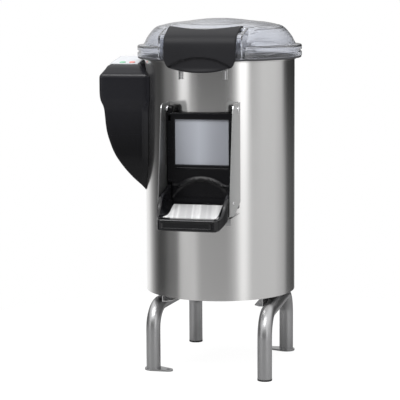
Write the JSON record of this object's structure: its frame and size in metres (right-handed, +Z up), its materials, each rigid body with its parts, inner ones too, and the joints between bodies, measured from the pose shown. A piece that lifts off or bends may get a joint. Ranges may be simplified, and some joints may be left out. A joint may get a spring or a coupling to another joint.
{
  "type": "electric potato peeler",
  "caption": "Commercial potato peeler: steel drum on bent-tube legs with a spinning abrasive disc, clear hinged lid, discharge gate over a spout and a side control housing.",
  "frame": {"origin": "on the floor, on the drum's vertical axis, midway between the two floor bolt holes", "axes": "+Z up along the drum's axis, -Y towards the discharge outlet, -X towards the control housing"},
  "size_m": [0.473, 0.564, 0.8364],
  "materials": {
    "drum_steel": "fine vertical satin grain, bright",
    "sheet_steel": "satin sheet",
    "tube_steel": "polished tube",
    "machined_steel": "turned",
    "zinc_steel": "zinc plated",
    "clear_plastic": "clear polycarbonate",
    "black_plastic": "satin black, fine leather grain",
    "panel_film": "satin printed film",
    "green_plastic": "gloss",
    "red_plastic": "gloss",
    "board_laminate": "solder mask",
    "grey_rubber": "soft",
    "black_rubber": "soft",
    "abrasive": "bonded silicon carbide grit",
    "cast_metal": "as cast",
    "motor_paint": "gloss enamel",
    "fan_cover_paint": "satin enamel",
    "brass": "machined"
  },
  "bodies": {
    "frame": {"drum_shell": "drum_steel", "abrasive_liner": "abrasive", "chamber_floor": "sheet_steel", "bottom_plate": "sheet_steel", "bearing_housing": "cast_metal", "upper_bearing": "machined_steel", "lower_bearing": "machined_steel", "shaft_seal": "black_rubber", "drive_belt": "black_rubber", "motor_case": "motor_paint", "motor_fan_cover": "fan_cover_paint", "motor_plate": "sheet_steel", "motor_studs": "zinc_steel", "left_leg_frame": "tube_steel", "right_leg_frame": "tube_steel", "floor_flanges": "sheet_steel", "foot_caps": "grey_rubber", "left_rail": "sheet_steel", "right_rail": "sheet_steel", "rail_bolts": "zinc_steel", "hinge_bracket": "sheet_steel", "hinge_pin": "zinc_steel", "latch_plate": "sheet_steel", "lid_switch": "black_plastic", "left_cheek": "sheet_steel", "right_cheek": "sheet_steel", "cheek_screws": "zinc_steel", "outlet_collar": "black_plastic", "gate_pins": "zinc_steel", "gate_seal": "grey_rubber", "spout": "black_plastic", "spout_tray": "sheet_steel", "spout_support": "sheet_steel", "control_housing": "black_plastic", "membrane_panel": "panel_film", "circuit_board": "board_laminate", "board_posts": "zinc_steel", "cable_gland": "black_plastic", "water_inlet": "brass", "inlet_nut": "brass", "drain_pipe": "sheet_steel", "drain_nut": "black_plastic"},
    "lid": {"lid_dome": "clear_plastic", "lid_gasket": "grey_rubber", "lid_handle": "black_plastic", "handle_screws": "zinc_steel", "hinge_leaf": "sheet_steel", "hinge_screws": "zinc_steel"},
    "gate": {"gate_frame": "black_plastic", "gate_window": "sheet_steel"},
    "rotor": {"abrasive_disc": "abrasive", "disc_knob": "machined_steel", "drive_shaft": "machined_steel", "driven_pulley": "cast_metal", "shaft_nut": "zinc_steel"},
    "motor_rotor": {"motor_pulley": "cast_metal", "motor_shaft": "machined_steel"},
    "start": {"start_button": "green_plastic"},
    "stop": {"stop_button": "red_plastic"}
  },
  "joints": [
    {"name": "lid_hinge", "type": "hinge", "parent": "frame", "child": "lid", "pos_m": [0, 0.209, 0.7554], "axis": [-1, 0, 0], "range_deg": [0, 100]},
    {"name": "gate_hinge", "type": "hinge", "parent": "frame", "child": "gate", "pos_m": [0, -0.183, 0.632], "axis": [-1, 0, 0], "range_deg": [0, 75]},
    {"name": "disc_spin", "type": "hinge", "parent": "frame", "child": "rotor", "pos_m": [0, 0, 0.4], "axis": [0, 0, 1], "continuous": true},
    {"name": "motor_spin", "type": "hinge", "parent": "frame", "child": "motor_rotor", "pos_m": [0, 0.102, 0.25], "axis": [0, 0, 1], "continuous": true},
    {"name": "start_press", "type": "slide", "parent": "frame", "child": "start", "axis": [0, 0.1392, -0.9903], "range_m": [0, 0.0015], "stiffness_N_per_m": 400, "springref_m": -0.0005},
    {"name": "stop_press", "type": "slide", "parent": "frame", "child": "stop", "axis": [0, 0.1392, -0.9903], "range_m": [0, 0.0015], "stiffness_N_per_m": 400, "springref_m": -0.0005}
  ],
  "couplings": [
    {"joint": "motor_spin", "follows": "disc_spin", "ratio": 4.1667}
  ]
}
